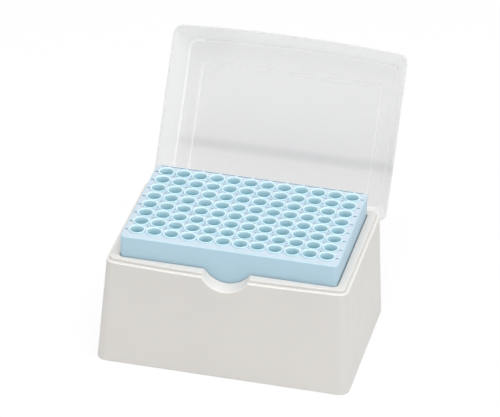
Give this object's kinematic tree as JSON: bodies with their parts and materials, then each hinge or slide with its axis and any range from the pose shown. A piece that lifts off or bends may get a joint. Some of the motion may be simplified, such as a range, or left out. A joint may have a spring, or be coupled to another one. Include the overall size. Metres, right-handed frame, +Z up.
{
  "type": "pipette tip box",
  "caption": "Hinged box of pipette tips standing open: a flared base with a thumb notch, a rack filled with tips, and a clear lid with a raised panel.",
  "frame": {"origin": "middle of the base's underside, in line with the middle of the tip pattern", "axes": "+Z up, +Y to the back where the lid is hinged, +X to the right seen from the front"},
  "size_m": [0.1328, 0.1614, 0.1251],
  "materials": {
    "base_plastic": "satin",
    "rack_plastic": "satin",
    "tip_plastic": "satin",
    "lid_plastic": "clear"
  },
  "bodies": {
    "box": {"base": "base_plastic", "rack": "rack_plastic", "tips_column_01": "tip_plastic", "tips_column_02": "tip_plastic", "tips_column_03": "tip_plastic", "tips_column_04": "tip_plastic", "tips_column_05": "tip_plastic", "tips_column_06": "tip_plastic", "tips_column_07": "tip_plastic", "tips_column_08": "tip_plastic", "tips_column_09": "tip_plastic", "tips_column_10": "tip_plastic", "tips_column_11": "tip_plastic", "tips_column_12": "tip_plastic"},
    "cover": {"lid": "lid_plastic"}
  },
  "joints": [
    {"name": "lid_hinge", "type": "hinge", "parent": "box", "child": "cover", "pos_m": [0, 0.0468, 0.048], "axis": [1, 0, 0], "range_deg": [0, 119]}
  ]
}
